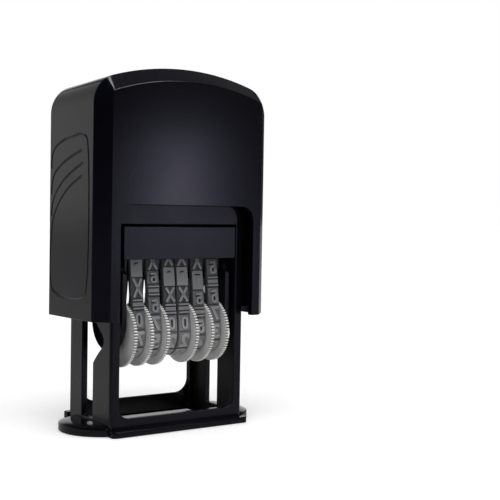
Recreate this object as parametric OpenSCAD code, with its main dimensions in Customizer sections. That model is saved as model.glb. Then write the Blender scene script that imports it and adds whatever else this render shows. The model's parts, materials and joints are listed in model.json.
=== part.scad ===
// Self-inking numbering machine: six thumb-set number bands on a print unit that
// hangs face up under an ink pad and turns over as the arched case is pressed down.
// Millimetres. +X runs along the front, -Y faces the user, +Z is up, and the origin
// is on the table under the middle of the case. Everything is drawn at rest.

/* [Number bands] */
// Width of one rubber band along the axle
band_w = 3.2; // [2.9:0.05:3.5]
// Thickness of a band without its raised type
band_t = 0.8; // [0.65:0.05:0.95]
// Height of the raised type above the band
type_h = 0.45; // [0.3:0.05:0.6]
// Width of a raised type block
type_w = 2.6; // [2.2:0.05:2.8]
// Length of a raised type block along the band
type_l = 3.6; // [3.0:0.1:3.8]
// Distance from one type block to the next along the band
type_pitch = 4.4; // [4.1:0.1:5.0]
// Gap between the two middle bands
middle_gap = 0.3; // [0.2:0.05:0.6]

/* [Number wheels] */
// Outer radius of a toothed thumb disc
disc_r = 7.2; // [6.8:0.1:7.4]
// Thickness of a thumb disc
disc_t = 0.8; // [0.6:0.05:1.0]
// Number of teeth on a thumb disc
disc_teeth = 68; // [56:2:76]
// Depth of the teeth
tooth_depth = 0.35; // [0.2:0.05:0.5]
// Radius of the hub inside the band
hub_r = 3.9; // [3.6:0.05:4.1]
// Radius of the steel axle
axle_r = 1.0; // [0.8:0.05:1.2]

/* [Print unit] */
// Distance from the pivot to the face of the type
type_reach = 10.25; // [10.1:0.05:10.5]
// Distance of the pivot in front of the middle of the case
pivot_forward = 0.4; // [0.3:0.05:0.5]
// Distance of the axle in front of the pivot
axle_forward = 3.4; // [3.2:0.1:3.6]
// Distance of the axle below the pivot
axle_drop = 9.05; // [8.9:0.05:9.4]
// Thickness of the platen bar under the type, front to back
platen_t = 3.7; // [3.4:0.1:3.8]
// Height of the platen bar
platen_h = 6.05; // [5.5:0.05:6.3]
// Thickness of a divider fin between two bands
fin_t = 0.7; // [0.5:0.05:0.8]
// Thickness of a side arm
arm_t = 1.2; // [1.0:0.05:1.3]
// Radius of the round lower end of a side arm
arm_r = 6.6; // [6.2:0.1:6.8]
// Radius of the pivot pins
pivot_r = 1.0; // [0.8:0.05:1.0]
// Distance from the pivot to the cam pin
cam_reach = 4.9; // [4.7:0.1:5.1]
// Radius of the cam pins
cam_pin_r = 0.75; // [0.6:0.05:0.9]

/* [Stand] */
// Depth of the stand frame, front to back
frame_d = 18.5; // [18.2:0.1:19.0]
// Wall thickness of the stand frame
frame_wall = 1.5; // [1.3:0.05:1.6]
// Height of the front rail above the table
front_rail_top = 3.6; // [3.2:0.1:3.8]
// Height of the back rail above the table
back_rail_top = 4.7; // [4.4:0.05:5.0]
// Height of the box over the ink pad
bridge_h = 6.5; // [5.5:0.1:7.0]
// Corner radius of the front and back openings
opening_r = 2.4; // [1.6:0.1:2.6]
// Radius of the lower corners of the back opening
back_corner_r = 3.3; // [2.6:0.1:3.6]
// Width of the side slots
slot_w = 4.9; // [4.6:0.1:5.1]
// Distance of a slot's front edge in front of the pivot
slot_front = 1.1; // [1.1:0.05:1.3]

/* [Foot] */
// How far the round ends reach past the frame's sides
ear_reach = 6.2; // [5.0:0.1:7.0]
// Radius of the round ends
ear_r = 9.8; // [9.4:0.1:10.4]
// Height of the rim of the round ends
ear_rim_h = 1.7; // [1.3:0.1:1.9]
// Height of the flat top of the round ends
ear_top_h = 2.4; // [2.2:0.1:2.8]
// Width of the slope from the rim up to the flat top
ear_slope = 2.6; // [1.8:0.1:3.0]
// How far the foot reaches in front of and behind the frame
lip_reach = 2.35; // [2.0:0.05:2.6]
// Height of the lip in front of the frame
front_lip_h = 1.4; // [1.2:0.1:1.8]
// Height of the lip behind the frame
back_lip_h = 2.6; // [2.2:0.1:3.0]
// Thickness of the foot's floor, which the frame stands on
foot_floor = 0.8; // [0.6:0.05:0.85]

/* [Ink pad] */
// Thickness of the felt pad
pad_t = 3.3; // [2.6:0.1:3.6]
// Height of the cassette's front plate
plate_h = 7.1; // [6.8:0.1:7.6]
// How far the front plate hangs below the pad's face
plate_drop = 2.9; // [2.4:0.1:3.1]
// How far the front plate stands out of the frame
plate_out = 0.4; // [0.3:0.05:0.6]
// Thickness of the front plate
plate_t = 1.4; // [1.2:0.05:1.5]
// Wall thickness of the cassette
cassette_wall = 1.1; // [0.9:0.05:1.2]

/* [Case] */
// Width of the case past each side of the frame
case_side = 5.05; // [4.6:0.05:5.6]
// Depth of the case past the front and the back of the frame
case_front = 3.4; // [3.3:0.05:4.2]
// Wall thickness of the case
case_wall = 1.55; // [1.4:0.05:1.65]
// Radius of the arched top
crown_r = 62; // [54:1:70]
// How far the top falls from its front edge to its back edge
crown_fall = 1.2; // [0.8:0.1:1.5]
// Radius of the case's shoulders
shoulder_r = 6.5; // [5.5:0.1:7.5]
// Width of the bevel round the front and the back
bevel = 2.9; // [2.4:0.1:3.2]
// Radius of the bevel's inner corners
bevel_corner_r = 0.8; // [0.5:0.1:1.5]
// Height of the frame's strip seen above the cassette
strip_h = 4.2; // [3.5:0.1:4.5]
// Radius of the window's upper corners
window_r = 3.0; // [2.0:0.1:4.0]
// Thickness of the guide ribs inside the case
rib_t = 1.4; // [1.2:0.1:1.8]

/* [Return spring] */
// Mean radius of the coils
spring_r = 5.3; // [5.1:0.1:5.8]
// Thickness of the wire
wire_d = 0.9; // [0.7:0.05:0.95]
// Number of turns
spring_turns = 7; // [6:1:8]
// Radius of the posts inside the spring
post_r = 4.0; // [3.5:0.1:4.2]

/* [Motion] */
// How far the case goes down when it is pressed
press_travel = 20; // [19.8:0.05:20.1]

/* [Hidden] */
$fn = 64;
HULL_FN = 32;      // facets round the ends of a band's loop
CUT = 1;           // how far a cutting shape runs past the face that it opens
BANDS = 6;

// clearances
side_gap = 0.075;      // band to disc
arm_gap = 0.475;       // outer disc to arm
unit_gap = 0.15;       // arm to the frame's back posts
running_gap = 0.05;    // shaft in a bore, radially
hub_gap = 0.25;        // hub inside the band's loop
pad_gap = 0.3;         // type to pad
slide_gap = 0.2;       // cassette in its opening, rib on the frame
plate_gap = 0.5;       // cassette's front plate below the top of its opening
ledge_gap = 0.1;       // ledge behind the edge of the back opening
shoe_gap = 0.1;        // guide shoe in its slot
slot_gap = 0.3;        // guide shoe below the top of its slot
slot_rise = 0.4;       // slots above the foot's ends
cam_gap = 0.15;        // cam pin in the notch
bar_gap = 0.06;        // platen bar inside the bands' loops
pin_gap = 0.2;         // end of a pivot pin to the case's side
window_gap = 0.1;      // case's window past the frame's sides
foot_gap = 2.5;        // pressed case above the foot's ends
crown_gap = 7.6;       // pressed case above the frame

// small steps
plate_lap = 0.35;      // cassette's front plate past the back opening
post_step = 0.8;       // front posts inside the frame's side walls
pad_inset = 1.6;       // pad inside the front plate's ends and the frame's front
rim_rise = 0.4;        // tray's rim and runners above the pad's face
rail_relief = 0.6;     // back rail thinner than the frame's walls
print_inset = 0.7;     // print opening inside the frame's side walls
print_relief = 3.0;    // print opening past the inside of the back rail
lip_side = 0.4;        // lips of the foot past the frame's sides
lip_root = 0.2;        // how much of a lip runs straight at the frame
back_cover = 0.6;      // back wall down over the end of the cassette
arm_lean = 1.3;        // lower end of an arm in front of the pivot
arm_low = 6.25;        // middle of the lower end under the pivot
arm_side = 4.4;        // top of an arm's straight sides over the pivot
neck_half = 3.3;       // half the width of an arm at its neck
neck_h = 1.1;          // slope of the neck, upwards
neck_w = 1.5;          // slope of the top, across
fin_rise = 0.35;       // fins and arms above the platen bar
fin_inset = 0.15;      // fins inside the faces of the bands
bite = 0.1;            // how far a boss or a rib reaches into the wall behind it

// places along X, worked out from the middle band to the case
cell = band_w + disc_t + 2 * side_gap;
disc_end = middle_gap / 2 + BANDS / 2 * cell - side_gap;
arm_in = disc_end + arm_gap;
arm_out = arm_in + arm_t;
back_half = arm_out + unit_gap;
plate_half = back_half + plate_lap;
front_half = plate_half + 2 * slide_gap;
frame_in = front_half + post_step;
frame_half = frame_in + frame_wall;
window_half = frame_half + window_gap;
case_half = frame_half + case_side;
rib_in = frame_half + slide_gap;
wall_in = case_half - case_wall + bite;
pin_end = case_half - case_wall - pin_gap;

// places along Y
frame_y = frame_d / 2;
case_y = frame_y + case_front;
bevel_y = case_y - bevel;
pivot_y = -pivot_forward;
axle_y = pivot_y - axle_forward;

// places along Z
pivot_z = press_travel + type_reach;
type_z = pivot_z + type_reach;
pad_z = type_z + pad_gap;
axle_z = pivot_z - axle_drop;
plate_z = pad_z - plate_drop;
opening_top = plate_z + plate_h + plate_gap;
bridge_floor_top = opening_top + frame_wall;
frame_top = opening_top + bridge_h;
window_top = opening_top + strip_h;
case_z = press_travel + ear_top_h + foot_gap;
case_top = frame_top + press_travel + crown_gap;
back_top = case_top - crown_fall;
ceiling_z = case_top - case_wall;

// the band's loop: a circle round the hub and two small corners over the platen
band_in_r = hub_r + hub_gap;
band_out_r = band_in_r + band_t;
face_corner_r = 1.0;
face_half = platen_t / 2 + band_t;
face_z = type_z - type_h;
platen_top = face_z - band_t;
platen_z = platen_top - platen_h;

// case furniture
boss_r = 3.4;
cap_t = 1.0;
cap_r = spring_r + wire_d / 2 + 0.65;
cap_boss_r = 5.0;
cap_boss_z = ceiling_z - crown_fall / 2 - 1.05;
spring_z0 = bridge_floor_top;
spring_z1 = cap_boss_z - cap_t;
shoe_h = 4.4;

function side_of(k) = k < BANDS / 2 ? -1 : 1;
function from_middle(k) = k < BANDS / 2 ? BANDS / 2 - 1 - k : k - BANDS / 2;
function band_x(k) = side_of(k) * (middle_gap / 2 + band_w / 2 + from_middle(k) * cell);
function disc_x(k) = band_x(k) + side_of(k) * (band_w / 2 + side_gap + disc_t / 2);
function polar(r, a) = [r * cos(a), r * sin(a)];

// ---------------------------------------------------------------- helpers
// A drawing in Y and Z, extruded along X from x0 to x1
module along_x(x0, x1) {
    translate([x0, 0, 0]) rotate([90, 0, 90]) linear_extrude(x1 - x0) children();
}

// A drawing in X and Z, extruded along Y from y0 to y1
module along_y(y0, y1) {
    translate([0, y1, 0]) rotate([90, 0, 0]) linear_extrude(y1 - y0) children();
}

// A box between two corners
module block(low, high) {
    translate(low) cube(high - low);
}

// A shaft along X
module shaft(r, x0, x1, y, z) {
    translate([x0, y, z]) rotate([0, 90, 0]) cylinder(r = r, h = x1 - x0);
}

// A rectangle from z0 to z1 whose two lower corners are round
module u_shape(half, z0, z1, r) {
    translate([-half, z0 + r]) square([2 * half, z1 - z0 - r]);
    translate([-half + r, z0]) square([2 * (half - r), r]);
    for (s = [-1, 1]) translate([s * (half - r), z0 + r]) circle(r);
}

// ---------------------------------------------------------------- foot
// A round end of the foot, drawn to some height and set in by some distance
module ear_step(side, h, inset) {
    ear_x = frame_half + ear_reach - ear_r;
    linear_extrude(h) intersection() {
        translate([side * ear_x, 0]) circle(ear_r - inset, $fn = 72);
        translate([side > 0 ? frame_half : -frame_half - ear_r, -ear_r])
            square([ear_r, 2 * ear_r]);
    }
}

module ear(side) {
    hull() {
        ear_step(side, ear_rim_h, 0);
        ear_step(side, ear_top_h, ear_slope);
    }
}

// The edge of the foot in front of the frame (side -1) or behind it (side 1)
module lip(side, h) {
    lip_half = frame_half + lip_side;
    lip_r = 0.45 * lip_reach;    // its round outer corners
    linear_extrude(h) hull() {
        for (s = [-1, 1])
            translate([s * (lip_half - lip_r), side * (frame_y + lip_reach - lip_r)])
                circle(lip_r);
        translate([-lip_half, side > 0 ? frame_y : -frame_y - lip_root])
            square([2 * lip_half, lip_root]);
    }
}

// The glossy foot that the frame stands in, with round ends and the print opening
module base_foot() {
    hole_half = frame_in - print_inset;
    in_y = frame_y - frame_wall;
    color("#17181a") difference() {
        union() {
            lip(-1, front_lip_h);
            lip(1, back_lip_h);
            block([-frame_half, -frame_y, 0], [frame_half, frame_y, foot_floor]);
            ear(-1);
            ear(1);
        }
        block([-hole_half, -in_y, -CUT], [hole_half, in_y, foot_floor + CUT]);
        block([-hole_half, 0, -CUT], [hole_half, in_y + print_relief, foot_floor]);
    }
}

// ---------------------------------------------------------------- stand frame
// Where the cam pin is when the case has gone a share t of its way down
function cam_path(t) = [pivot_y - cam_reach * sin(180 * t),
                        pivot_z - press_travel * t - cam_reach * cos(180 * t)];

// The outside of the cam pin's path, with its clearance
function cam_edge(t) =
    let (ahead = cam_path(t + 0.001), behind = cam_path(t - 0.001),
         d = ahead - behind, n = [d[1], -d[0]] / norm(d))
    cam_path(t) + (cam_pin_r + cam_gap) * n;

// The notch in the front edge of a side slot, which turns the print unit over
module cam_notch() {
    steps = 24;
    polygon(concat([[pivot_y, pivot_z - cam_reach + cam_pin_r + cam_gap]],
                   [for (i = [0 : steps]) cam_edge(i / steps)],
                   [[pivot_y, pivot_z - press_travel + cam_reach - cam_pin_r - cam_gap]]));
}

module side_slots() {
    slot_z0 = ear_top_h + slot_rise;
    slot_z1 = pivot_z + shoe_h / 2 + slot_gap;
    along_x(-frame_half - CUT, frame_half + CUT) {
        translate([pivot_y - slot_front, slot_z0]) square([slot_w, slot_z1 - slot_z0]);
        cam_notch();
    }
}

// The frame: two slotted sides, corner posts, rails and the box over the ink pad
module stand_frame() {
    in_y = frame_y - frame_wall;
    ledge_h = 1.0;
    ledge_in = back_half + ledge_gap;
    color("#2b2c30") {
        difference() {
            block([-frame_half, -frame_y, foot_floor], [frame_half, frame_y, frame_top]);
            block([-frame_in, -in_y, foot_floor - CUT], [frame_in, in_y, opening_top]);
            block([-frame_in, -in_y, bridge_floor_top], [frame_in, in_y, frame_top + CUT]);
            block([-back_half, 0, foot_floor - CUT],
                  [back_half, in_y + rail_relief, back_rail_top + back_corner_r]);
            along_y(-frame_y - CUT, 0)
                u_shape(front_half, front_rail_top, opening_top, opening_r);
            along_y(0, frame_y + CUT)
                u_shape(back_half, back_rail_top, tray_top - back_cover, back_corner_r);
            side_slots();
        }
        // ledges that carry the cassette
        for (s = [-1, 1])
            block([s > 0 ? ledge_in : -frame_in, -in_y, runner_z - ledge_h],
                  [s > 0 ? frame_in : -ledge_in, in_y, runner_z]);
    }
}

// The post that keeps the foot of the return spring in the middle
module spring_guide() {
    guide_h = 4.8;
    nose_h = 1.0;
    nose_r = post_r - 0.8;
    color("#2b2c30") translate([0, 0, spring_z0]) {
        cylinder(r = post_r, h = guide_h);
        translate([0, 0, guide_h]) cylinder(r1 = post_r, r2 = nose_r, h = nose_h);
    }
}

// ---------------------------------------------------------------- return spring
// A point on the rim of the wire, at ring i and side j of the coil
function coil_point(i, j, rings, sides) =
    let (turn = 360 * spring_turns * i / (rings - 1),
         rise = (spring_z1 - spring_z0 - wire_d) * i / (rings - 1),
         r = spring_r + wire_d / 2 * cos(360 * j / sides))
    [r * cos(turn), r * sin(turn),
     spring_z0 + wire_d / 2 + rise + wire_d / 2 * sin(360 * j / sides)];

module return_spring() {
    sides = 8;
    rings = spring_turns * 14 + 1;     // 14 rings to a turn, and the last
    color("#b8bcc2") polyhedron(
        points = [for (i = [0 : rings - 1]) for (j = [0 : sides - 1])
                  coil_point(i, j, rings, sides)],
        faces = concat(
            [[for (j = [sides - 1 : -1 : 0]) j]],
            [for (i = [0 : rings - 2]) for (j = [0 : sides - 1])
             let (a = i * sides + j, b = i * sides + (j + 1) % sides)
             [a, b, b + sides, a + sides]],
            [[for (j = [0 : sides - 1]) (rings - 1) * sides + j]]));
}

// ---------------------------------------------------------------- ink pad
pad_half = plate_half - pad_inset;
pad_y0 = -frame_y + pad_inset;
pad_y1 = frame_y - frame_wall - slide_gap - cassette_wall;
tray_top = pad_z + pad_t + cassette_wall;
runner_z = pad_z + rim_rise;

// The pull-out tray that holds the pad face down, with its wide front plate
module pad_cassette() {
    tray_y1 = pad_y1 + cassette_wall;
    tray_half = pad_half + cassette_wall;
    runner_half = front_half - slide_gap - 0.1;
    runner_h = 1.0;
    plate_y = -frame_y - plate_out;
    color("#2e2f35") {
        block([-plate_half, plate_y, plate_z],
              [plate_half, plate_y + plate_t, plate_z + plate_h]);
        difference() {
            block([-tray_half, plate_y + plate_t, runner_z], [tray_half, tray_y1, tray_top]);
            block([-pad_half, pad_y0, pad_z - CUT], [pad_half, pad_y1, pad_z + pad_t]);
        }
        for (s = [-1, 1])
            block([s > 0 ? tray_half : -runner_half, -frame_y + frame_wall, runner_z],
                  [s > 0 ? runner_half : -tray_half, tray_y1, runner_z + runner_h]);
    }
}

module ink_pad() {
    color("#1c1c2c")
        block([-pad_half, pad_y0, pad_z], [pad_half, pad_y1, pad_z + pad_t]);
}

// ---------------------------------------------------------------- case
// Height of the middle of a shoulder, set in by some distance, under a crown at some height
function shoulder_z(inset, corner, top) = top - crown_r
    + sqrt(pow(crown_r - inset - corner, 2) - pow(case_half - inset - corner, 2));

// The case's arched view from the front in X and Z, set in by some distance
function case_outline(inset, corner, bottom, top) =
    let (half = case_half - inset, crown = crown_r - inset, crown_z = top - crown_r,
         corner_x = half - corner, corner_z = shoulder_z(inset, corner, top),
         meet = atan2(corner_z - crown_z, corner_x), turns = 10, steps = 14,
         right = concat([for (i = [0 : turns])
                         [corner_x, corner_z] + polar(corner, meet * i / turns)],
                        [for (i = [1 : steps])
                         [0, crown_z] + polar(crown, meet + (90 - meet) * i / steps)]),
         left = [for (i = [len(right) - 2 : -1 : 0]) [-right[i][0], right[i][1]]])
    concat([[half, bottom]], right, left, [[-half, bottom]]);

// A closed solid through outlines with the same number of points, each [y, points]
module loft(sections) {
    n = len(sections[0][1]);
    last = len(sections) - 1;
    polyhedron(
        points = [for (s = sections) for (p = s[1]) [p[0], s[0], p[1]]],
        faces = concat(
            [[for (j = [n - 1 : -1 : 0]) j]],
            [for (i = [0 : last - 1]) for (j = [0 : n - 1]) for (half = [0, 1])
             let (a = i * n + j, b = i * n + (j + 1) % n)
             half == 0 ? [a, b + n, a + n] : [a, b, b + n]],
            [[for (j = [0 : n - 1]) last * n + j]]));
}

// A beveled box of the case's form: y and inset at the faces and at the bevel's edge
module case_form(face_y, face_inset, edge_y, edge_inset, edge_corner, bottom) {
    function face(top) = case_outline(face_inset, bevel_corner_r, bottom, top);
    function edge(top) = case_outline(edge_inset, edge_corner, bottom, top);
    loft([[-face_y, face(case_top)], [-edge_y, edge(case_top)],
          [edge_y, edge(back_top)], [face_y, face(back_top)]]);
}

module case_outside() {
    case_form(case_y, bevel, bevel_y, 0, shoulder_r, case_z);
}

module case_inside() {
    skin = case_wall * tan(22.5);     // keeps the bevel as thick as the walls
    case_form(case_y - case_wall, bevel + skin, bevel_y - skin, case_wall,
              shoulder_r - case_wall, case_z - CUT);
}

// The opening in the front and the back, open at the bottom
module case_window() {
    along_y(-case_y - CUT, case_y + CUT) mirror([0, 1])
        translate([0, -window_top]) u_shape(window_half, 0, window_top - case_z + CUT, window_r);
}

// Boss for a pivot pin, with the shoe that slides in the frame's slot
module pin_boss(side) {
    shoe_in = frame_in + shoe_gap;
    shaft(boss_r, side > 0 ? rib_in : -wall_in, side > 0 ? wall_in : -rib_in,
          pivot_y, pivot_z);
    along_x(side > 0 ? shoe_in : -rib_in, side > 0 ? rib_in : -shoe_in)
        translate([pivot_y - slot_front + shoe_gap, pivot_z - shoe_h / 2])
            square([slot_w - 2 * shoe_gap, shoe_h]);
}

// Upright ribs that keep the case straight on the frame
module guide_ribs() {
    rib_y = frame_y - 1.8;
    rib_z = case_z + 1.5;
    for (s = [-1, 1]) for (y = [-rib_y, rib_y])
        block([s > 0 ? rib_in : -wall_in, y - rib_t / 2, rib_z],
              [s > 0 ? wall_in : -rib_in, y + rib_t / 2, shoulder_z(0, shoulder_r, back_top)]);
}

module case_shell() {
    color("#26272d") difference() {
        union() {
            difference() {
                case_outside();
                case_inside();
                case_window();
            }
            pin_boss(-1);
            pin_boss(1);
            guide_ribs();
            translate([0, 0, cap_boss_z])
                cylinder(r = cap_boss_r,
                         h = ceiling_z - crown_fall / 2 + case_wall / 2 - cap_boss_z);
        }
        shaft(pivot_r, -pin_end, pin_end, pivot_y, pivot_z);
    }
}

// The flanged cap that the top of the spring pushes on
module spring_cap() {
    stem_h = 1.9;
    color("#2b2c30") {
        translate([0, 0, spring_z1]) cylinder(r = cap_r, h = cap_t);
        translate([0, 0, spring_z1 - stem_h]) cylinder(r = post_r, h = stem_h);
    }
}

module pivot_pin(side) {
    color("#9a9da3") shaft(pivot_r, side > 0 ? arm_in : -pin_end,
                           side > 0 ? pin_end : -arm_in, pivot_y, pivot_z);
}

// ---------------------------------------------------------------- print unit
clip_t = 0.5;
clip_r = 1.9;

// Side view of a holder arm: a round lower end, and a top that clears the rails
module arm_outline() {
    steps = 24;                        // facets round the lower end
    low = [pivot_y - arm_lean, pivot_z - arm_low];
    side_z = pivot_z + arm_side;
    neck = [axle_y - neck_half, side_z + neck_h];
    top_z = platen_top + fin_rise;
    polygon(concat([for (i = [0 : steps]) low + polar(arm_r, -180 * i / steps)],
                   [[low[0] - arm_r, side_z], neck, [neck[0] + neck_w, top_z],
                    [axle_y + neck_half, top_z], [low[0] + arm_r, side_z]]));
}

module holder_arm(side) {
    color("#232428") difference() {
        along_x(side > 0 ? arm_in : -arm_out, side > 0 ? arm_out : -arm_in) arm_outline();
        shaft(pivot_r + running_gap, -frame_half, frame_half, pivot_y, pivot_z);
        shaft(axle_r, -frame_half, frame_half, axle_y, axle_z);
        shaft(cam_pin_r, -frame_half, frame_half, pivot_y, pivot_z - cam_reach);
        for (s = [-1, 1]) shaft(clip_r, s > 0 ? arm_out - clip_t : -arm_out - CUT,
                                s > 0 ? arm_out + CUT : -arm_out + clip_t, axle_y, axle_z);
    }
}

// Half the width of the platen bar at height z, just inside the band's loop
function bar_half(z) = let (t = (platen_top - z) / (platen_top - axle_z))
    platen_t / 2 + (band_in_r - platen_t / 2) * t - bar_gap;

// The bar that backs the type, with fins between the bands
module platen() {
    fin_half = face_half - fin_inset;
    edge = face_corner_r - band_t;
    side_z = platen_top - edge;
    color("#232428") {
        along_x(-arm_in, arm_in) translate([axle_y, 0])
            polygon([[-bar_half(platen_top) + edge, platen_top],
                     [bar_half(platen_top) - edge, platen_top],
                     [bar_half(side_z), side_z], [bar_half(platen_z), platen_z],
                     [-bar_half(platen_z), platen_z], [-bar_half(side_z), side_z]]);
        for (k = [0 : BANDS - 1])
            block([disc_x(k) - fin_t / 2, axle_y - fin_half, platen_z],
                  [disc_x(k) + fin_t / 2, axle_y + fin_half, platen_top + fin_rise]);
    }
}

module wheel_axle() {
    color("#c4c7cc") shaft(axle_r, -arm_out, arm_out, axle_y, axle_z);
}

module axle_clips() {
    color("#8d9096") for (s = [-1, 1]) difference() {
        shaft(clip_r, s > 0 ? arm_out - clip_t : -arm_out,
              s > 0 ? arm_out : -arm_out + clip_t, axle_y, axle_z);
        shaft(axle_r, -frame_half, frame_half, axle_y, axle_z);
    }
}

// The pin that runs through the notch and turns the unit over
module cam_pin(side) {
    color("#9a9da3") shaft(cam_pin_r, side > 0 ? arm_in : -frame_half,
                           side > 0 ? frame_half : -arm_in, pivot_y, pivot_z - cam_reach);
}

// ---------------------------------------------------------------- number bands
// Loop round the hub and over the platen, drawn about the axle in Y and Z
module band_loop(wheel_r, half, top, corner) {
    hull() {
        circle(wheel_r, $fn = 2 * HULL_FN);
        for (s = [-1, 1]) translate([s * (half - corner), top - axle_z - corner])
            circle(corner, $fn = HULL_FN);
    }
}

// One raised block of type, whose middle is at p on the band and which faces along a
module type_block(p, a) {
    translate(p) rotate(a) translate([-band_t / 2, -type_l / 2])
        square([band_t / 2 + type_h, type_l]);
}

// Every type block of a band: on the face, down both sides and round the wheel
module type_blocks() {
    corner = [face_half - face_corner_r, face_z - axle_z - face_corner_r];
    lean = atan2(corner[1], corner[0]) - acos((band_out_r - face_corner_r) / norm(corner));
    low = polar(band_out_r, lean);
    high = corner + polar(face_corner_r, lean);
    rows = floor(norm(high - low) / type_pitch);
    step = type_pitch / band_out_r * 180 / PI;      // angle between blocks on the wheel
    turns = floor((90 + lean) / step - 0.5);
    type_block([0, face_z - axle_z], 90);
    for (i = [0 : rows - 1])
        let (p = high + (low - high) * (i + 0.5) * type_pitch / norm(low - high)) {
            type_block(p, lean);
            type_block([-p[0], p[1]], 180 - lean);
        }
    for (i = [-turns : turns]) type_block(polar(band_out_r, -90 + i * step), -90 + i * step);
}

module number_band(k) {
    x = band_x(k);
    color("#6d6f73") translate([0, axle_y, axle_z]) {
        along_x(x - band_w / 2, x + band_w / 2) difference() {
            band_loop(band_out_r, face_half, face_z, face_corner_r);
            band_loop(band_in_r, platen_t / 2, platen_top, face_corner_r - band_t);
        }
        along_x(x - type_w / 2, x + type_w / 2) difference() {
            type_blocks();
            band_loop(band_in_r, platen_t / 2, platen_top, face_corner_r - band_t);
        }
    }
}

// ---------------------------------------------------------------- number wheels
// Outline of the toothed disc, four points to a tooth
module disc_outline() {
    pitch = 360 / disc_teeth;
    tip = 0.18;      // half of a tooth's top, as a share of the pitch
    root = 0.3;      // half of its foot
    corners = [[-root, tooth_depth], [-tip, 0], [tip, 0], [root, tooth_depth]];
    polygon([for (i = [0 : disc_teeth - 1]) for (c = corners)
             polar(disc_r - c[1], (i + c[0]) * pitch)]);
}

module number_wheel(k) {
    disc_0 = disc_x(k) - disc_t / 2;
    hub_0 = band_x(k) - band_w / 2;
    color("#c9cac8") translate([0, axle_y, axle_z]) difference() {
        union() {
            along_x(disc_0, disc_0 + disc_t) disc_outline();
            shaft(hub_r, min(hub_0, disc_0), max(hub_0 + band_w, disc_0 + disc_t), 0, 0);
        }
        shaft(axle_r + running_gap, -frame_half, frame_half, 0, 0);
    }
}

// ---------------------------------------------------------------- the whole machine
base_foot();
stand_frame();
spring_guide();
return_spring();
pad_cassette();
ink_pad();
case_shell();
spring_cap();
pivot_pin(-1);  // pivot_pin_left
pivot_pin(1);  // pivot_pin_right
holder_arm(-1);  // holder_arm_left
holder_arm(1);  // holder_arm_right
platen();
wheel_axle();
axle_clips();
cam_pin(-1);  // cam_pin_left
cam_pin(1);  // cam_pin_right
for (k = [0 : BANDS - 1]) {
    number_band(k);
    number_wheel(k);
}
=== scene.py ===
"""A self-inking numbering machine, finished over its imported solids.

Metres. +X runs along the front, -Y faces the user, +Z is up, and the origin is on
the table under the middle of the case.
"""
import json
import math

import bmesh
import bpy
from mathutils import Matrix, Vector


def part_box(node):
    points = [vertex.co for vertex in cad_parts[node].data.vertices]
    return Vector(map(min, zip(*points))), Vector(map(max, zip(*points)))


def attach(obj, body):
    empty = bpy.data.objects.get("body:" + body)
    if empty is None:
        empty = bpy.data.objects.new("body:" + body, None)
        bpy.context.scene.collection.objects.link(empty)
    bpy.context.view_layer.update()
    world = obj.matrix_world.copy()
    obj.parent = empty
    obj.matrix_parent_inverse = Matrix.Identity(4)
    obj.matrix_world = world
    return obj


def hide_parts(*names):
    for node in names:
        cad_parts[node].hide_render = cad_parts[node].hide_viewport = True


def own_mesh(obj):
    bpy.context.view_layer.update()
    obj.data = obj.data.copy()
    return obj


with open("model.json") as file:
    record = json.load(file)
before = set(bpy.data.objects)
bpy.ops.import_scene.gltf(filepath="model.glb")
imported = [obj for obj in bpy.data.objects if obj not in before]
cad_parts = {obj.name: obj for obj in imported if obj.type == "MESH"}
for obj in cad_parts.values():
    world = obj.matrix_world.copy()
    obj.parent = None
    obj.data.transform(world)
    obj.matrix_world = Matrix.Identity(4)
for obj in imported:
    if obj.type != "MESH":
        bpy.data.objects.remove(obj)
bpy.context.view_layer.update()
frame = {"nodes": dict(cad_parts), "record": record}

# ---- Camera, table and lamps ---------------------------------------------------
# The machine stands on a white table in a white studio. A strip lamp stands to the
# right and a wide soft one hangs above. The studio's walls are what gloss mirrors.
MM = 0.001
eye = Vector((-0.134265, -0.213017, 0.049055))
right = Vector((0.79889406, -0.60123251, 0.01696316))
up = Vector((0.0084507, 0.03942, 0.99918699))
ahead = up.cross(right)
camera_data = bpy.data.cameras.new("camera")
camera_data.sensor_width = 36
camera_data.lens = 79.19
camera_data.clip_start = 0.01
camera = bpy.data.objects.new("camera", camera_data)
bpy.context.scene.collection.objects.link(camera)
camera.matrix_world = Matrix((
    (right.x, up.x, -ahead.x, eye.x),
    (right.y, up.y, -ahead.y, eye.y),
    (right.z, up.z, -ahead.z, eye.z),
    (0, 0, 0, 1)))
bpy.context.scene.camera = camera
bpy.context.scene.view_settings.view_transform = "Standard"
TABLE_HALF = 3                # metres
# How bright the studio looks, where 1 is white. The gloss values are what a glossy
# surface mirrors, and show nowhere else.
TABLE_COLOUR, TABLE_GLOSS = (0.86, 0.86, 0.86), (0.56, 0.56, 0.56)
TABLE_GLOW = (0.25, 0.6)      # beside the machine, and far off
FRONT_TABLE_GLOSS = (0.12, 0.36)    # at the left and at the right
BACK_GLOSS = (0.7, 1.0)       # the left end of the back wall, and the rest of it
CEILING_GLOSS = 0.17
SKYLIGHT_GLOSS = 14           # a small window high in front
SEAM_GLOSS = 9                # a narrow slit in the ceiling
FRONT_GLOSS = 0.22
ROOM_LIGHT = 0.6              # what lights matt surfaces from all sides


class Value:
    """A shader socket that takes part in plain arithmetic."""

    def __init__(self, nodes, socket):
        self.nodes, self.socket = nodes, socket

    def _join(self, operation, first, second):
        return self.nodes.add("ShaderNodeMath", {"operation": operation},
                              {0: first, 1: second})

    def __add__(self, other):
        return self._join("ADD", self, other)

    def __radd__(self, other):
        return self._join("ADD", other, self)

    def __sub__(self, other):
        return self._join("SUBTRACT", self, other)

    def __rsub__(self, other):
        return self._join("SUBTRACT", other, self)

    def __mul__(self, other):
        return self._join("MULTIPLY", self, other)

    def __rmul__(self, other):
        return self._join("MULTIPLY", other, self)


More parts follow.
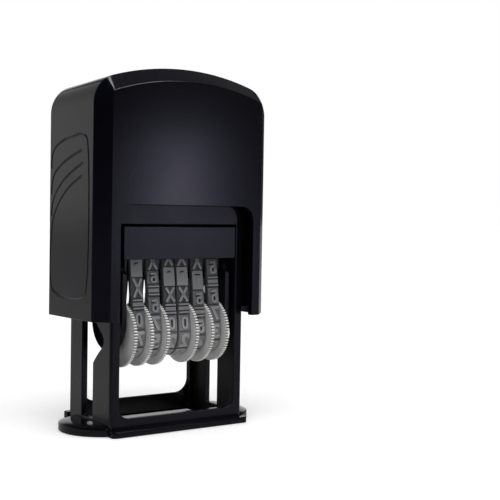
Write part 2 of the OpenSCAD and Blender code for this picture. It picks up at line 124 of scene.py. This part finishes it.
class Nodes:
    """The node tree of one finish, built a node at a time."""

    def __init__(self, tree):
        self.tree = tree
        tree.nodes.clear()

    def add(self, kind, settings=None, sockets=None, out=0):
        """A node with its settings made and its sockets set or linked."""
        node = self.tree.nodes.new(kind)
        for name, value in (settings or {}).items():
            setattr(node, name, value)
        for name, value in (sockets or {}).items():
            if isinstance(value, Value):
                self.tree.links.new(value.socket, node.inputs[name])
            else:
                node.inputs[name].default_value = value
        return Value(self, node.outputs[out]) if node.outputs else None

    def place(self):
        """Where on the machine a point is, in metres."""
        return self.add("ShaderNodeTexCoord", out="Object")

    def split(self, vector):
        """The three numbers of a vector."""
        apart = self.add("ShaderNodeSeparateXYZ", {}, {"Vector": vector}).socket.node
        return [Value(self, socket) for socket in apart.outputs]

    def slope(self, value, low, high, start=0.0, end=1.0):
        """A smooth way from start to end, while the value goes from low to high."""
        return self.add("ShaderNodeMapRange", {"interpolation_type": "SMOOTHSTEP"},
                        {"Value": value, "From Min": low, "From Max": high,
                         "To Min": start, "To Max": end})

    def between(self, value, rise, fall):
        """1 between two soft edges. Each edge is given as where it starts and ends."""
        return self.slope(value, *rise) * self.slope(value, *fall, 1, 0)

    def length(self, vector):
        return self.add("ShaderNodeVectorMath", {"operation": "LENGTH"}, {0: vector}, "Value")

    def side(self):
        """How far a face is turned to the right: 1 faces right, and -1 left."""
        return self.split(self.add("ShaderNodeNewGeometry", out="True Normal"))[0]

    def ray(self, name):
        return self.add("ShaderNodeLightPath", out=name)

    def noise(self, size_mm, detail=2, stretch=(1, 1, 1)):
        """Soft spots of about that size, from 0 to 1."""
        where = self.add("ShaderNodeMapping", {}, {"Vector": self.place(), "Scale": stretch})
        return self.add("ShaderNodeTexNoise", {},
                        {"Vector": where, "Scale": 1 / (size_mm * MM), "Detail": detail})

    def mix(self, share, first, second):
        """A colour between two, by a share from 0 to 1."""
        first, second = (shade if isinstance(shade, Value) else (*shade, 1)
                         for shade in (first, second))
        # the sockets of the Mix node by number, because their names repeat
        return self.add("ShaderNodeMix", {"data_type": "RGBA"},
                        {0: share, 6: first, 7: second}, 2)

    def bump(self, height, depth_mm, strength):
        return self.add("ShaderNodeBump", {}, {"Height": height, "Distance": depth_mm * MM,
                                               "Strength": strength})


def finish(name, **sockets):
    """A material whose Principled sockets come from numbers or from functions of its nodes."""
    material = bpy.data.materials.new(name)
    material.use_nodes = True
    nodes = Nodes(material.node_tree)
    made = {key.replace("_", " "): value(nodes) if callable(value) else value
            for key, value in sockets.items()}
    for key, value in made.items():
        if key == "Base Color" and isinstance(value, tuple):
            made[key] = (*value, 1)
    surface = nodes.add("ShaderNodeBsdfPrincipled", {}, made)
    nodes.add("ShaderNodeOutputMaterial", {}, {"Surface": surface})
    return material


table_mesh = bpy.data.meshes.new("table")
bm = bmesh.new()
bmesh.ops.create_grid(bm, x_segments=1, y_segments=1, size=TABLE_HALF)
bm.to_mesh(table_mesh)
bm.free()
table = bpy.data.objects.new("table", table_mesh)
table.location.z = -0.05 * MM       # just clear of the foot
bpy.context.scene.collection.objects.link(table)
table_finish = bpy.data.materials.new("white table")
table_finish.use_nodes = True
nodes = Nodes(table_finish.node_tree)
paper = nodes.add("ShaderNodeBsdfPrincipled", {}, {
    "Base Color": nodes.mix(nodes.ray("Is Glossy Ray"), TABLE_COLOUR, TABLE_GLOSS),
    "Roughness": 0.6})
far_off = nodes.slope(nodes.length(nodes.place()), 0.03, 0.6, *TABLE_GLOW)
glow = nodes.add("ShaderNodeEmission", {}, {
    "Color": (1, 1, 1, 1),
    "Strength": (nodes.ray("Is Camera Ray") + nodes.ray("Is Transmission Ray")) * far_off})
bright = nodes.add("ShaderNodeAddShader", {}, {0: paper, 1: glow})
table_x, table_y, _ = nodes.split(nodes.place())
screened = nodes.add("ShaderNodeEmission", {}, {
    "Color": (0.92, 0.9, 1.2, 1),
    "Strength": nodes.slope(table_x, -0.15, 0.05, *FRONT_TABLE_GLOSS)})
in_front = nodes.slope(table_y, -0.02, -0.01, 1, 0)
nodes.add("ShaderNodeOutputMaterial", {}, {"Surface": nodes.add("ShaderNodeMixShader", {}, {
    0: nodes.ray("Is Glossy Ray") * in_front, 1: bright, 2: screened})})
table_mesh.materials.append(table_finish)

world = bpy.data.worlds.new("studio")
bpy.context.scene.world = world
world.use_nodes = True
nodes = Nodes(world.node_tree)
to_right, to_back, to_sky = nodes.split(nodes.add("ShaderNodeTexCoord", {}, {}, "Generated"))
seen = nodes.ray("Is Camera Ray") + nodes.ray("Is Transmission Ray")
mirrored = nodes.ray("Is Glossy Ray")
# the back wall is higher at its left end, and darker towards its top
wall_top = nodes.slope(to_right, 0, 0.25, 0.6, 0.3)
back_wall = nodes.slope(to_back, 0.1, 0.4) * nodes.slope(to_right, 0, 0.25, *BACK_GLOSS) \
    * nodes.slope(to_right, 0.7, 0.78, 1, 0) \
    * nodes.slope(to_sky - wall_top, 0, 0.07, 1, 0.1) \
    * nodes.slope(to_sky, 0.05, 0.55, 1, 0.35)
ceiling = nodes.slope(to_sky, 0.3, 0.5) * nodes.slope(to_back, 0.2, 0.5, 1, 0) \
    * nodes.slope(to_right, 0, 0.03) * CEILING_GLOSS
skylight = nodes.between(to_sky, (0.5, 0.53), (0.64, 0.68)) \
    * nodes.between(to_right, (0.2, 0.3), (0.48, 0.52)) \
    * nodes.slope(to_back, -0.35, -0.3, 1, 0) * SKYLIGHT_GLOSS
seam = nodes.between(to_right, (-0.02, 0), (0.06, 0.08)) \
    * nodes.slope(to_sky, 0.6, 0.7) * nodes.slope(to_back, 0.2, 0.3, 1, 0) * SEAM_GLOSS
# the front wall is lit in a leaning strip at the right
front_wall = nodes.slope(to_right - 0.5 * to_sky, 0.465, 0.495, 0, 1.1) \
    * nodes.slope(to_right, 0.53, 0.6, 1, 0.1) \
    * nodes.slope(to_back, 0, 0.1, 1, 0) * FRONT_GLOSS
strength = seen + mirrored * (back_wall + ceiling + skylight + seam + front_wall) \
    + (1 - seen - mirrored) * ROOM_LIGHT
studio = nodes.add("ShaderNodeBackground", {}, {"Color": (1, 1, 1, 1), "Strength": strength})
nodes.add("ShaderNodeOutputWorld", {}, {"Surface": studio})
LAMPS_AIM = (0, 0, 35)


def softbox(name, place, size, watts, tint=(1, 1, 1)):
    """A flat lamp at a place, turned to the middle of the machine, in millimetres."""
    data = bpy.data.lights.new(name, "AREA")
    data.color = tint
    data.shape = "RECTANGLE"
    data.size, data.size_y = size[0] * MM, size[1] * MM
    data.energy = watts
    lamp = bpy.data.objects.new(name, data)
    bpy.context.scene.collection.objects.link(lamp)
    lamp.location = Vector(place) * MM
    beam = Vector(LAMPS_AIM) * MM - lamp.location
    lamp.rotation_euler = beam.to_track_quat("-Z", "Y").to_euler()
    return lamp


softbox("strip lamp", (326, -514, 28), (36, 150), 0.056, (0.92, 0.9, 1.25))
softbox("top lamp", (-60, -130, 480), (360, 260), 1.5).visible_glossy = False

# ---- Foot ----------------------------------------------------------------------
# The foot is injection moulded in polished black ABS. Its floor frames the print
# opening, and the frame is pressed in between the lips at its front and back.
FLAT_DEG = 0.2                # faces that turn less are one flat face
EDGE_DEG = 30                 # faces that turn more meet in an edge


def shade_by_area(piece):
    """Lets the flat faces rule the shading, so that only the rounded edges turn."""
    weighted = piece.modifiers.new("shading", "WEIGHTED_NORMAL")
    weighted.weight = 90
    weighted.keep_sharp = True


def moulded(name, node, body, material, edge_mm, segments=3):
    """A moulded part over its solid, with the edges rounded as by the mould."""
    mesh = bpy.data.meshes.new(name)
    bm = bmesh.new()
    bm.from_mesh(frame["nodes"][node].data)
    bmesh.ops.remove_doubles(bm, verts=bm.verts, dist=0.001 * MM)
    bmesh.ops.dissolve_limit(bm, angle_limit=math.radians(FLAT_DEG),
                             verts=bm.verts, edges=bm.edges)
    for face in bm.faces:
        face.smooth = True
    bm.to_mesh(mesh)
    bm.free()
    mesh.materials.append(material)
    piece = bpy.data.objects.new(name, mesh)
    bpy.context.scene.collection.objects.link(piece)
    if edge_mm:
        bevel = piece.modifiers.new("round", "BEVEL")
        bevel.width = edge_mm * MM
        bevel.segments = segments
        bevel.limit_method = "ANGLE"
        bevel.angle_limit = math.radians(EDGE_DEG)
        bevel.use_clamp_overlap = False
        shade_by_area(piece)
    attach(piece, body)
    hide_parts(node)
    return piece


polished = finish(
    "polished black ABS",
    Base_Color=(0.0018, 0.0018, 0.003),
    Roughness=lambda n: n.noise(6, 3) * 0.06 + 0.08, Specular_IOR_Level=0.2,
    Normal=lambda n: n.bump(n.noise(1.2, 4, (1, 1, 0.3)), 0.01, 0.25))
moulded("foot", "base_foot", "stand", polished, 0.22)

# ---- Frame ---------------------------------------------------------------------
# The frame is one moulding in satin black ABS: two slotted sides, four posts, the
# rails, and the open box over the ink pad.
POST_R = 0.7                  # rounding of the posts' outer corners
POST_LENGTH = 10              # an upright edge that is longer belongs to a post


def satin_roughness(n):
    """Satin outside, and duller on the walls that face the inside of the frame."""
    outwards = n.side() * n.split(n.place())[0]
    return n.noise(9, 3) * 0.06 + n.slope(outwards, -6 * MM, -4 * MM, 0.62, 0.2)


satin = finish(
    "satin black ABS",
    Base_Color=(0.002, 0.002, 0.0032),
    Roughness=satin_roughness, Specular_IOR_Level=0.35,
    Normal=lambda n: n.bump(n.noise(0.16, 3), 0.006, 0.35))
stand = moulded("stand_frame_part", "stand_frame", "stand", satin, 0.2)
low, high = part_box("stand_frame")
bm = bmesh.new()
bm.from_mesh(stand.data)
outermost = {v for v in bm.verts if min(v.co.x - low.x, high.x - v.co.x) < 0.01 * MM
             and min(v.co.y - low.y, high.y - v.co.y) < 0.01 * MM}
corners = [e for e in bm.edges if outermost.issuperset(e.verts)
           and abs(e.verts[0].co.z - e.verts[1].co.z) > POST_LENGTH * MM]
bmesh.ops.bevel(bm, geom=corners, offset=POST_R * MM, segments=5, profile=0.5,
                affect="EDGES", material=-1, clamp_overlap=False)
for face in bm.faces:
    face.smooth = True
bm.to_mesh(stand.data)
bm.free()

# ---- Return spring and its post ------------------------------------------------
# A compression spring coiled from bright steel wire stands on the frame's box, round
# a moulded post. Its foot stays there.
moulded("spring_post", "spring_guide", "stand", satin, 0.25)
drawn_wire = finish(
    "drawn steel wire",
    Base_Color=(0.6, 0.61, 0.63), Metallic=1.0,
    Roughness=lambda n: n.noise(0.5, 2, (1, 1, 6)) * 0.15 + 0.22)
coil = moulded("coil_spring", "return_spring", "stand", drawn_wire, 0)
low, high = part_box("return_spring")
press = [j for j in frame["record"]["behaviour"]["joints"] if j["name"] == "case_press"][0]
1 - press["range_m"][1] / (high.z - low.z)
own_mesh(coil)

# ---- Ink pad cassette ----------------------------------------------------------
# A black ABS tray that slides in on two runners, with a wide front plate to pull it
# by. A block of ink-soaked felt is pressed into it, face down.
PAD_EDGE_R = 0.5
PAD_HOLLOW = 0.12             # how far the face lies back at its edges
PAD_FACE = 0.6                # what lies lower than this belongs to the face
PAD_CUTS = 6
cassette_plastic = finish(
    "cassette ABS",
    Base_Color=(0.004, 0.004, 0.0062),
    Roughness=lambda n: n.noise(7, 3) * 0.06 + 0.22, Specular_IOR_Level=0.4,
    Normal=lambda n: n.bump(n.noise(0.14, 3), 0.008, 0.4))
moulded("cassette", "pad_cassette", "pad_tray", cassette_plastic, 0.18)

low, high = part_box("ink_pad")
bm = bmesh.new()
bmesh.ops.create_cube(bm, size=1)
bmesh.ops.scale(bm, vec=high - low, verts=bm.verts)
bmesh.ops.translate(bm, vec=(low + high) / 2, verts=bm.verts)
bmesh.ops.bevel(bm, geom=bm.edges, offset=PAD_EDGE_R * MM, segments=3, profile=0.5,
                affect="EDGES", material=-1)
bmesh.ops.subdivide_edges(bm, edges=bm.edges, cuts=PAD_CUTS, use_grid_fill=True)
for vert in bm.verts:
    if vert.co.z < low.z + PAD_FACE * MM:     # the soaked face swells in the middle
        u = (vert.co.x - low.x) / (high.x - low.x) * 2 - 1
        v = (vert.co.y - low.y) / (high.y - low.y) * 2 - 1
        vert.co.z += PAD_HOLLOW * MM * (1 - (1 - u * u) * (1 - v * v))
for face in bm.faces:
    face.smooth = True
felt_mesh = bpy.data.meshes.new("felt_pad")
bm.to_mesh(felt_mesh)
bm.free()
felt = finish(
    "ink-soaked felt",
    Base_Color=lambda n: n.mix(n.noise(0.5, 4), (0.004, 0.004, 0.012), (0.016, 0.016, 0.035)),
    Roughness=0.85, Sheen_Weight=0.25, Sheen_Roughness=0.5,
    Normal=lambda n: n.bump(n.noise(0.12, 4), 0.08, 0.8))
felt_mesh.materials.append(felt)
felt_pad = bpy.data.objects.new("felt_pad", felt_mesh)
bpy.context.scene.collection.objects.link(felt_pad)
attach(felt_pad, "pad_tray")
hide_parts("ink_pad")

# ---- Case ----------------------------------------------------------------------
# The case is moulded in black ABS with a fine grain: an arched shell with a broad
# bevel round the front and the back, and a grip panel engraved on each side. The
# spring pushes on a flanged cap that sits in a boss under its top.
case_plastic = finish(
    "grained black ABS",
    Base_Color=lambda n: n.mix(n.noise(14, 3), (0.0012, 0.0012, 0.003),
                               (0.0022, 0.0022, 0.0048)),
    Roughness=lambda n: n.noise(11, 3) * 0.05 + 0.13, Specular_IOR_Level=0.35,
    Normal=lambda n: n.bump(n.noise(0.32, 2), 0.012, 0.4))
case = moulded("case", "case_shell", "case", case_plastic, 0.16)

GROOVE_R = 0.36               # the wire that presses the groove, millimetres
GROOVE_OUT = 0.13             # its middle line, outside the case's side
CREASE_DEG = 35               # a cut edge that turns more stays sharp
# The engraved lines, as points along Y and Z in millimetres. The first runs right
# round the panel and ends in its lowest curve.
GRIP_LINES = (
    ((8.8, 57.4), (8.85, 59.2), (8.1, 61.2), (4.7, 63.1), (-0.4, 64.0), (-6.3, 64.2),
     (-7.4, 63.0), (-7.4, 31.4), (-6.2, 30.2), (7.1, 30.2), (8.6, 31.7), (8.6, 43.6),
     (8.0, 46.2), (6.0, 49.2), (2.1, 52.4), (-2.0, 54.5), (-5.0, 55.6)),
    ((8.8, 46.9), (8.6, 48.9), (7.4, 51.3), (4.6, 53.9), (0.35, 56.2), (-5.4, 58.4)),
    ((8.8, 51.7), (8.7, 53.7), (7.6, 56.1), (5.4, 57.6), (1.5, 59.3), (-4.8, 61.1)),
)


def engraving_tool(side):
    """Round wires along the lines of one side's panel, to be cut out of the case."""
    curve = bpy.data.curves.new("engraving", "CURVE")
    curve.dimensions = "3D"
    curve.bevel_depth = GROOVE_R * MM
    curve.bevel_resolution = 2
    curve.resolution_u = 6
    curve.use_fill_caps = True
    groove_x = side * (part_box("case_shell")[1].x + GROOVE_OUT * MM)
    for line in GRIP_LINES:
        spline = curve.splines.new("BEZIER")
        spline.bezier_points.add(len(line) - 1)
        for point, (y, z) in zip(spline.bezier_points, line):
            point.co = (groove_x, y * MM, z * MM)
            point.handle_left_type = point.handle_right_type = "AUTO"
    tool = bpy.data.objects.new("engraving", as_mesh(curve))
    bpy.context.scene.collection.objects.link(tool)
    return tool


def as_mesh(curve):
    """The solid form of a curve, as a mesh of its own."""
    ob = bpy.data.objects.new("form", curve)
    bpy.context.scene.collection.objects.link(ob)
    mesh = bpy.data.meshes.new_from_object(ob.evaluated_get(
        bpy.context.evaluated_depsgraph_get()))
    bpy.data.objects.remove(ob)
    return mesh


def cut(piece, tool):
    """Cuts the tool's shape out of a piece for good and removes the tool."""
    boolean = piece.modifiers.new("cut", "BOOLEAN")
    boolean.object = tool
    boolean.solver = "EXACT"
    bpy.context.view_layer.update()
    made = bpy.data.meshes.new_from_object(
        piece.evaluated_get(bpy.context.evaluated_depsgraph_get()))
    piece.modifiers.clear()
    piece.data = made
    bpy.data.objects.remove(tool)


for side in (-1, 1):
    cut(case, engraving_tool(side))
bm = bmesh.new()
bm.from_mesh(case.data)
bmesh.ops.remove_doubles(bm, verts=bm.verts, dist=0.0002 * MM)
for edge in bm.edges:
    edge.smooth = len(edge.link_faces) == 2 \
        and edge.calc_face_angle() < math.radians(CREASE_DEG)
bm.to_mesh(case.data)
bm.free()
shade_by_area(case)
moulded("spring_cap_part", "spring_cap", "case", satin, 0.2)

# ---- Pivot pins ----------------------------------------------------------------
# Turned steel pins, pressed into the bosses inside the case. They run through the
# slots of the frame and carry the print unit.
turned_steel = finish(
    "turned steel",
    Base_Color=(0.5, 0.51, 0.53), Metallic=1.0,
    Roughness=lambda n: n.noise(0.3, 3, (8, 1, 1)) * 0.15 + 0.2,
    Normal=lambda n: n.bump(n.noise(0.1, 2, (10, 1, 1)), 0.004, 0.4))
for end in ("left", "right"):
    moulded(f"pivot_{end}", f"pivot_pin_{end}", "case", turned_steel, 0.12)

# ---- Print unit ----------------------------------------------------------------
# Two moulded arms hold the platen bar, which backs the type, and the steel axle
# under it. A pin on each arm runs through a slot's notch and turns the unit over.
for end in ("left", "right"):
    moulded(f"arm_{end}", f"holder_arm_{end}", "print_unit", satin, 0.15)
    moulded(f"cam_{end}", f"cam_pin_{end}", "print_unit", turned_steel, 0.1)
moulded("platen_bar", "platen", "print_unit", satin, 0.05)
moulded("axle", "wheel_axle", "print_unit", turned_steel, 0.15)
moulded("clips", "axle_clips", "print_unit", turned_steel, 0.06)

# ---- Number wheels -------------------------------------------------------------
# Six toothed discs in light grey ABS, each moulded with the hub that drives its
# band. A fingertip turns them by the teeth.
AXLE = (-3.8, 21.2)           # Y and Z of the axle, millimetres
TOOTH_R = (6.85, 7.2)         # where the painted shade in the teeth ends, and where their painted highlight is full


def disc_colour(n):
    """Light grey, with painted shade in the roots of the teeth and a painted highlight on their
    tips.
    """
    from_axle = n.add("ShaderNodeVectorMath", {"operation": "SUBTRACT"}, {
        0: n.add("ShaderNodeVectorMath", {"operation": "MULTIPLY"},
                 {0: n.place(), 1: (0, 1, 1)}),
        1: (0, AXLE[0] * MM, AXLE[1] * MM)})
    side = n.side()
    rim = n.slope(side * side, 0.2, 0.5, 1, 0)
    # the rim's teeth: painted shade at their roots, a painted highlight at their tips
    painted_tooth_light = n.slope(n.length(from_axle), TOOTH_R[0] * MM, TOOTH_R[1] * MM)
    plain = n.mix(n.noise(2.5, 4), (0.48, 0.485, 0.475), (0.58, 0.585, 0.575))
    return n.mix(rim, plain, n.mix(painted_tooth_light, (0.24, 0.24, 0.24), (0.78, 0.78, 0.76)))


grey_plastic = finish(
    "light grey ABS",
    Base_Color=disc_colour,
    Roughness=lambda n: n.noise(3, 3) * 0.12 + 0.36,
    Subsurface_Weight=0.06, Subsurface_Radius=(0.002, 0.002, 0.002),
    Subsurface_Scale=0.4,
    Normal=lambda n: n.bump(n.noise(0.4, 3), 0.01, 0.3))
for number in range(1, 7):
    moulded(f"thumb_disc_{number}", f"number_wheel_{number}", f"wheel_{number}",
            grey_plastic, 0.05, 2)

# ---- Number bands --------------------------------------------------------------
# Each band is moulded in grey rubber, with its type raised in mirror writing. It
# runs round a hub below and over the platen bar above.
INK_AND_SHADE = (21.5, 27.5)          # the heights over which the band darkens upward, partly ink near the pad and partly painted shade from the case


def rubber_colour(n):
    """Darker between the type, partly ink and partly painted shade, with painted light on its
    tops; darker upward, partly ink near the pad and partly painted shade from the case.
    """
    height = n.add("ShaderNodeAttribute", {"attribute_name": "raised"}, out="Fac")
    # low between the type is darker, partly ink in the hollows and partly painted shade; the
    # tops are lighter as painted light
    raised = n.slope(height, 0.1, 1) + n.noise(1.6, 4) * 0.16
    # darker upward: partly ink near the pad, partly painted shade from the case above
    ink_and_shade = n.slope(n.split(n.place())[2], INK_AND_SHADE[0] * MM, INK_AND_SHADE[1] * MM)
    return n.mix(ink_and_shade, n.mix(raised, (0.11, 0.11, 0.112), (0.29, 0.292, 0.295)),
                 n.mix(raised, (0.028, 0.028, 0.03), (0.18, 0.183, 0.188)))


rubber = finish(
    "grey rubber",
    Base_Color=rubber_colour,
    Roughness=lambda n: n.noise(2, 3) * 0.15 + 0.48,
    Normal=lambda n: n.bump(n.noise(0.2, 4), 0.012, 0.5))
# The band's loop, in millimetres
WHEEL_R = 4.95                # outside of the band on its hub
FACE_HALF = 2.65              # half the width of the band over the platen
FACE_TOP = 18.85              # outside of the band over the platen, above the axle
CORNER_R = 1.0
BAND_W, BAND_T = 3.2, 0.8
BAND_X = (-10.05, -5.9, -1.75, 1.75, 5.9, 10.05)
STRAP_STEPS = 120             # how many faces go round the loop
# Where the corner, the straight run and half the loop end, and how the run leans
corner_y, corner_z = FACE_HALF - CORNER_R, FACE_TOP - CORNER_R
reach = math.hypot(corner_y, corner_z)
LEAN = math.atan2(corner_z, corner_y) - math.acos((WHEEL_R - CORNER_R) / reach)
BEND_END = corner_y + CORNER_R * (math.pi / 2 - LEAN)
RUN_END = BEND_END + math.sqrt(reach ** 2 - (WHEEL_R - CORNER_R) ** 2)
HALF_LOOP = RUN_END + WHEEL_R * (math.pi / 2 + LEAN)


def on_band(x, along, height):
    """A point of the band: along is measured from the middle of the print face, down
    the front when positive, and height stands off the band. Millimetres."""
    s = abs(along)
    if s <= corner_y:
        angle, y, z = math.pi / 2, s, FACE_TOP
    elif s <= BEND_END:
        angle = math.pi / 2 - (s - corner_y) / CORNER_R
        y = corner_y + CORNER_R * math.cos(angle)
        z = corner_z + CORNER_R * math.sin(angle)
    elif s <= RUN_END:
        angle, down = LEAN, s - BEND_END
        y = corner_y + CORNER_R * math.cos(angle) + down * math.sin(angle)
        z = corner_z + CORNER_R * math.sin(angle) - down * math.cos(angle)
    else:
        angle = LEAN - (s - RUN_END) / WHEEL_R
        y, z = WHEEL_R * math.cos(angle), WHEEL_R * math.sin(angle)
    y += height * math.cos(angle)
    z += height * math.sin(angle)
    return Vector((x, AXLE[0] - math.copysign(y, along), AXLE[1] + z)) * MM


# What each band shows down its front: a sign, and where its cell starts and ends.
FRONT = (
    (("1", 4.3, 8.4), ("X", 8.6, 12.9), ("=", 13.1, 15.5), ("0", 15.7, 19.7),
     ("7", 19.9, 23.6)),
    (("X", 3.2, 6.9), ("6", 7.1, 10.0), ("=", 10.2, 12.6), ("6", 12.8, 16.6), ("7", 16.8, 20.5),
     ("5", 20.7, 24.4)),
    (("X", 2.6, 6.1), ("1", 6.3, 10.6), ("X", 10.8, 14.2), ("=", 14.4, 16.8), ("0", 17.0, 20.7),
     ("2", 20.9, 24.6)),
    (("X", 2.6, 6.1), ("1", 6.3, 10.6), ("X", 10.8, 14.2), ("=", 14.4, 16.8), ("0", 17.0, 20.7),
     ("2", 20.9, 24.6)),
    (("X", 3.0, 7.0), ("T", 7.2, 11.6), ("6", 11.8, 15.2), ("=", 15.4, 17.8), ("6", 18.0, 21.6),
     ("4", 21.8, 25.4)),
    (("6", 4.6, 8.4), ("=", 8.6, 11.0), ("6", 11.2, 15.0), ("7", 15.2, 19.0),
     ("3", 19.2, 23.0)),
)
CELL, CELL_GAP = 4.0, 0.2     # the figures round the rest of the loop
SLAB_H, SIGN_H = 0.2, 0.25
SLAB_HALF = 1.45              # half the width of a slab of type
FIGURE_W, FIGURE_MARGIN = 2.3, 0.3
BEND_STEP = 0.8               # how often the flat type is cut, to follow the bends
FIRST_CUT = 3                 # the first cut comes before the first sign
DRAWN_SIGNS = "=1XT06"        # the other figures come from a bold typeface
BAND_EDGE_R, BAND_EDGE_DEG = 0.06, 40


def oval(x, y, half_x, half_y):
    """The outline of a flattened ring or counter."""
    return [(x + half_x * math.copysign(abs(math.cos(a)) ** 0.7, math.cos(a)),
             y + half_y * math.copysign(abs(math.sin(a)) ** 0.7, math.sin(a)))
            for a in (math.tau * (i + 0.5) / 16 for i in range(16))]


def bar(x0, y0, x1, y1, half):
    """The outline of a straight stroke between two points."""
    along = Vector((x1 - x0, y1 - y0)).normalized() * half
    return [(x0 - along.y, y0 + along.x), (x1 - along.y, y1 + along.x),
            (x1 + along.y, y1 - along.x), (x0 + along.y, y0 - along.x)]


def sign_forms(sign, length):
    """The slab and the strokes of a sign: outlines, and how low and how high they go.
    Across the band and down it, from the middle of the cell, as seen from in front."""
    end, top = length / 2 - 0.1, SLAB_H + SIGN_H
    slab = [(-SLAB_HALF, -end), (SLAB_HALF, -end), (SLAB_HALF, end), (-SLAB_HALF, end)]
    if sign == "=":
        return [([bar(-1.4, y, 1.4, y, half)], 0, height)
                for y, half, height in ((-0.37 * length, 0.17, top), (0, 0.42, 0.3),
                                        (0.37 * length, 0.17, top))]
    if sign == "1":
        hook = [(-0.55, -0.19), (-0.4, -0.27), (0.1, -0.31), (0.5, -0.28), (0.5, -0.22),
                (0, -0.24), (-0.3, -0.18)]
        return [([slab, [(x, y * length) for x, y in hook]], 0, 0.34)]
    if sign == "X":
        return [([slab], 0, 0.1),
                ([bar(-1.05, -end, 1.05, end, 0.3)], 0, top),
                ([bar(1.05, -end, -1.05, end, 0.3)], 0, top)]
    if sign == "T":
        return [([slab, bar(-0.7, -0.28 * length, 0.7, -0.28 * length, 0.14)], 0, 0.3),
                ([bar(0, -0.2 * length, 0, 0.25 * length, 0.22)], 0, top)]
    if sign == "0":
        slit = oval(0, 0, 0.32, 0.24 * length)
        return [([slab, slit], 0, SLAB_H), ([oval(0, 0, 0.85, 0.38 * length), slit], 0, top)]
    if sign == "6":
        counter = oval(0.12, 0.16 * length, 0.3, 0.13 * length)
        hook = oval(-0.4, -0.16 * length, 0.5, 0.05 * length)
        return [([slab, counter, hook], 0, SLAB_H),
                ([oval(0.12, 0.16 * length, 0.85, 0.26 * length), counter], 0, top),
                ([bar(0.75, 0.15 * length, 0.62, -0.22 * length, 0.25)], 0, top),
                ([bar(0.75, -0.3 * length, -0.7, -0.26 * length, 0.22)], 0, top)]
    return [([slab], 0, SLAB_H)]


def solid_of(curve, low, high):
    """A curve, filled flat between two heights, as a mesh."""
    curve.extrude = (high - low) / 2
    mesh = as_mesh(curve)
    mesh.transform(Matrix.Translation((0, 0, (low + high) / 2)))
    return mesh


def figure_form(sign, length):
    """A figure in bold type, mirrored across the band, its top towards the print face."""
    text = bpy.data.curves.new("sign", "FONT")
    text.body = sign
    text.align_x, text.align_y = "CENTER", "CENTER"
    text.offset = 0.04
    text.resolution_u = 3
    mesh = solid_of(text, 0, SLAB_H + SIGN_H)
    for axis, size in ((0, FIGURE_W), (1, length - 2 * FIGURE_MARGIN)):
        places = [v.co[axis] for v in mesh.vertices]
        first, last = min(places), max(places)
        for vert in mesh.vertices:
            vert.co[axis] = -(vert.co[axis] - (first + last) / 2) / (last - first) * size
    return mesh


def add_sign(bm, sign, start, end):
    """A raised sign of type, in flat band measure."""
    made = []
    for outlines, low, high in sign_forms(sign, end - start):
        curve = bpy.data.curves.new("form", "CURVE")
        curve.dimensions, curve.fill_mode = "2D", "BOTH"
        for outline in outlines:
            spline = curve.splines.new("POLY")
            spline.points.add(len(outline) - 1)
            spline.use_cyclic_u = True
            for point, (x, y) in zip(spline.points, outline):
                point.co = (x, y, 0, 1)
        made.append(solid_of(curve, low, high))
    if sign not in DRAWN_SIGNS:
        made.append(figure_form(sign, end - start))
    for mesh in made:
        mesh.transform(Matrix.Translation((0, (start + end) / 2, 0)))
        bm.from_mesh(mesh)


for index, centre_x in enumerate(BAND_X):
    bm = bmesh.new()
    # the strap: a grid with one column of faces across it, laid round the loop
    bmesh.ops.create_grid(bm, x_segments=1, y_segments=STRAP_STEPS, size=1)
    for vert in bm.verts:
        vert.co = on_band(centre_x + vert.co.x * BAND_W / 2, vert.co.y * HALF_LOOP, 0)
    bmesh.ops.remove_doubles(bm, verts=bm.verts, dist=0.02 * MM)
    bmesh.ops.recalc_face_normals(bm, faces=bm.faces)
    bmesh.ops.solidify(bm, geom=bm.faces[:], thickness=BAND_T * MM)
    strap = bpy.data.meshes.new("strap")
    bm.to_mesh(strap)
    bm.free()
    type_bm = bmesh.new()
    cells = list(FRONT[index])
    # the rest of the loop carries the other figures at an even pitch
    place, figure = cells[-1][2] + CELL_GAP, 1
    while place + CELL + CELL_GAP < 2 * HALF_LOOP + cells[0][1]:
        cells.append((str(figure % 10), place, place + CELL))
        place, figure = place + CELL + CELL_GAP, figure + 1
    for sign, start, end in cells:
        add_sign(type_bm, sign, start, end)
    bmesh.ops.remove_doubles(type_bm, verts=type_bm.verts, dist=0.002)
    for step in range(FIRST_CUT, int(2 * HALF_LOOP / BEND_STEP)):
        bmesh.ops.bisect_plane(
            type_bm, geom=type_bm.verts[:] + type_bm.edges[:] + type_bm.faces[:],
            plane_co=(0, step * BEND_STEP, 0), plane_no=(0, 1, 0))
    # the material reads from this how high the type stands
    raised = type_bm.verts.layers.float.new("raised")
    for vert in type_bm.verts:
        vert[raised] = vert.co.z / (SLAB_H + SIGN_H)
        along = vert.co.y if vert.co.y <= HALF_LOOP else vert.co.y - 2 * HALF_LOOP
        vert.co = on_band(centre_x + vert.co.x, along, vert.co.z)
    bmesh.ops.recalc_face_normals(type_bm, faces=type_bm.faces)
    type_bm.from_mesh(strap)
    band_mesh = bpy.data.meshes.new(f"rubber_band_{index + 1}")
    type_bm.to_mesh(band_mesh)
    type_bm.free()
    band_mesh.materials.append(rubber)
    band = bpy.data.objects.new(f"rubber_band_{index + 1}", band_mesh)
    bpy.context.scene.collection.objects.link(band)
    rounding = band.modifiers.new("round", "BEVEL")
    rounding.width = BAND_EDGE_R * MM
    rounding.segments = 2
    rounding.limit_method = "ANGLE"
    rounding.angle_limit = math.radians(BAND_EDGE_DEG)
    rounding.use_clamp_overlap = False
    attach(band, "print_unit")
    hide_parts(f"number_band_{index + 1}")
